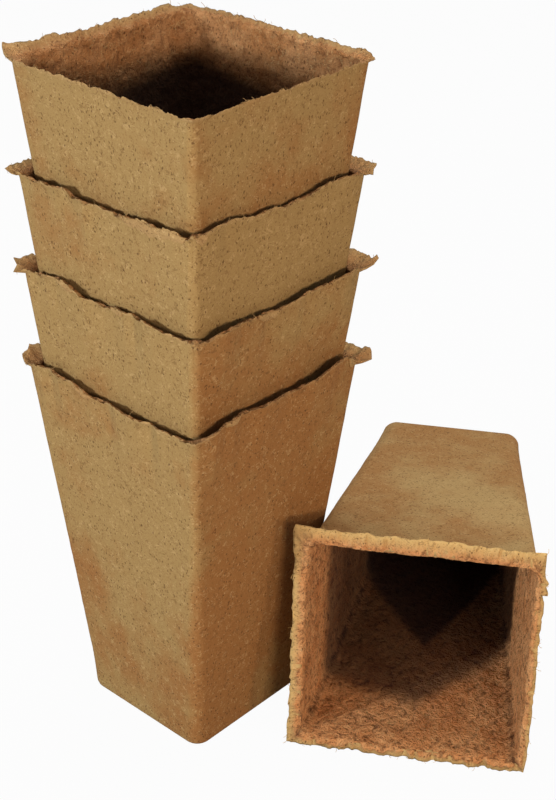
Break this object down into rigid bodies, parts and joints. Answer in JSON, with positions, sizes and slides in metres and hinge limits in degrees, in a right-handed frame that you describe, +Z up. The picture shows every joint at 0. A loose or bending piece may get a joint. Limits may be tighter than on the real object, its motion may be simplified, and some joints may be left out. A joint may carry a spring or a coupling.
{
  "type": "peat pot",
  "caption": "Square tapered peat plant pots with ragged rims, nested in one another as a tower, and one more on its side against the tower. Each lifts out of the one below.",
  "frame": {"origin": "centre of the bottom pot's base, on the ground", "axes": "+Z up the tower; X and Y along the pots' sides; the lying pot's mouth faces -X -Y, and it lies beside the tower's +X -Y corner"},
  "size_m": [0.249, 0.21, 0.3057],
  "materials": {
    "peat_pulp": "matt felted fibre with dark flecks, khaki to orange brown"
  },
  "bodies": {
    "bottom_pot": {"bottom_pot": "peat_pulp"},
    "second_pot": {"second_pot": "peat_pulp"},
    "third_pot": {"third_pot": "peat_pulp"},
    "top_pot": {"top_pot": "peat_pulp"},
    "lying_pot": {"lying_pot": "peat_pulp"}
  },
  "joints": [
    {"name": "second_lift", "type": "slide", "parent": "bottom_pot", "child": "second_pot", "axis": [0, 0, 1], "range_m": [0, 0.13]},
    {"name": "third_lift", "type": "slide", "parent": "second_pot", "child": "third_pot", "axis": [0, 0, 1], "range_m": [0, 0.13]},
    {"name": "top_lift", "type": "slide", "parent": "third_pot", "child": "top_pot", "axis": [0, 0, 1], "range_m": [0, 0.13]},
    {"name": "lying_slide", "type": "slide", "parent": "bottom_pot", "child": "lying_pot", "axis": [0.527, -0.8499, 0], "range_m": [0, 0.15]}
  ]
}
